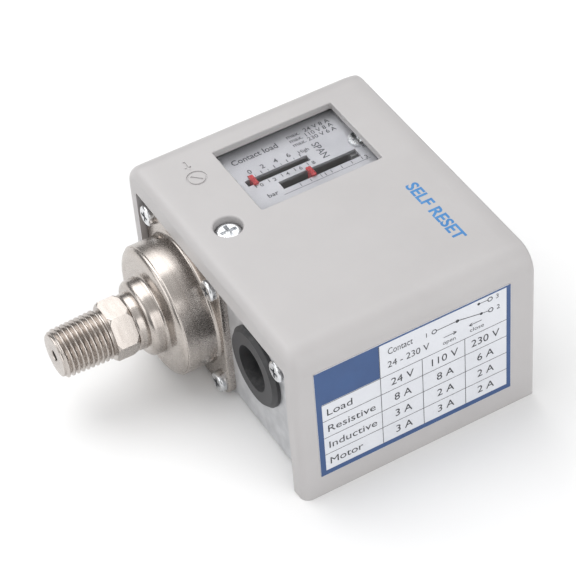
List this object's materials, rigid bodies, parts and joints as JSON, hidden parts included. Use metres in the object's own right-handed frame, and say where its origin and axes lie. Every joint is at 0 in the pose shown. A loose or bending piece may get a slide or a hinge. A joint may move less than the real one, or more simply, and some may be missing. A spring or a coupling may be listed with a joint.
{
  "type": "pressure switch",
  "caption": "Boxed pressure switch with a bellows housing and tapered pipe thread, cable grommet, scale window, spring-loaded lever, setting screws and snap switch.",
  "frame": {"origin": "centre of the case's back plane, on the outer face of the chassis back plate", "axes": "+Z out of the front cover, -Y towards the pressure connection and cable grommet, +X towards the side face with the rating label"},
  "size_m": [0.0852, 0.1028, 0.049],
  "materials": {
    "cover_plastic": "fine satin moulding",
    "lens_clear": "clear acrylic",
    "label_print": "satin printed film",
    "galvanised": "galvanised, faint grain",
    "nickel": "satin nickel plate",
    "zinc": "bright zinc plate",
    "scale_silver": "satin anodised, printed",
    "pointer_red": "painted red",
    "rubber_black": "matt",
    "brass": "satin",
    "steel": "zinc-plated pressing",
    "spring_wire": "drawn wire",
    "phenolic": "moulded",
    "plunger_plastic": "moulded"
  },
  "bodies": {
    "frame": {"chassis": "galvanised", "adapter_plate": "nickel", "bellows_housing": "nickel", "flange_screws": "zinc", "pressure_connector": "nickel", "cable_grommet": "rubber_black", "ground_washer": "zinc", "ground_screw": "zinc", "lever_bracket": "steel", "bracket_screws": "zinc", "pivot_pin": "zinc", "scale_plate": "scale_silver", "scale_screw": "zinc", "switch_body": "phenolic", "switch_screws": "zinc", "terminal_block": "phenolic", "block_screws": "zinc", "terminal_plates": "brass", "terminal_screws": "zinc"},
    "cover": {"cover": "cover_plastic", "window_lens": "lens_clear", "rating_label": "label_print"},
    "cover_fixing": {"cover_screw": "zinc"},
    "lever": {"main_lever": "steel", "range_seat": "steel", "diff_seat": "steel"},
    "rod": {"push_rod": "brass", "bellows": "brass"},
    "plunger": {"switch_plunger": "plunger_plastic"},
    "range_drive": {"range_screw": "zinc", "range_clip": "steel"},
    "range_carriage": {"range_nut": "steel", "range_pointer": "pointer_red", "range_spring": "spring_wire"},
    "diff_drive": {"diff_screw": "zinc", "diff_clip": "steel"},
    "diff_carriage": {"diff_nut": "steel", "diff_pointer": "pointer_red", "diff_spring": "spring_wire"}
  },
  "joints": [
    {"name": "cover_lift", "type": "slide", "parent": "frame", "child": "cover", "axis": [0, 0, 1], "range_m": [0, 0.06]},
    {"name": "cover_screw_turn", "type": "hinge", "parent": "cover", "child": "cover_fixing", "pos_m": [-0.0065, -0.0232, 0.045], "axis": [0, 0, 1], "continuous": true},
    {"name": "lever_tilt", "type": "hinge", "parent": "frame", "child": "lever", "pos_m": [-0.0173, -0.0236, 0.0065], "axis": [-1, 0, 0], "range_deg": [0, 2], "stiffness_Nm_per_rad": 0.5, "springref_deg": -1.15},
    {"name": "rod_slide", "type": "slide", "parent": "frame", "child": "rod", "axis": [0, 1, 0], "range_m": [0, 0.00048], "deforming": ["bellows"]},
    {"name": "plunger_slide", "type": "slide", "parent": "frame", "child": "plunger", "axis": [0, 1, 0], "range_m": [0, 0.0009]},
    {"name": "range_screw_turn", "type": "hinge", "parent": "frame", "child": "range_drive", "pos_m": [-0.0245, 0, 0.0205], "axis": [0, 1, 0], "range_deg": [-450, 6750]},
    {"name": "range_nut_slide", "type": "slide", "parent": "frame", "child": "range_carriage", "axis": [0, 1, 0], "range_m": [-0.001, 0.015], "deforming": ["range_spring"]},
    {"name": "diff_screw_turn", "type": "hinge", "parent": "frame", "child": "diff_drive", "pos_m": [-0.0101, 0, 0.0205], "axis": [0, 1, 0], "range_deg": [-3600, 5850]},
    {"name": "diff_nut_slide", "type": "slide", "parent": "frame", "child": "diff_carriage", "axis": [0, 1, 0], "range_m": [-0.008, 0.013], "deforming": ["diff_spring"]}
  ],
  "couplings": [
    {"joint": "lever_tilt", "follows": "rod_slide", "rad_per_m": 71.43},
    {"joint": "plunger_slide", "follows": "rod_slide", "ratio": 1.75},
    {"joint": "range_screw_turn", "follows": "range_nut_slide", "rad_per_m": 7854},
    {"joint": "diff_screw_turn", "follows": "diff_nut_slide", "rad_per_m": 7854}
  ]
}
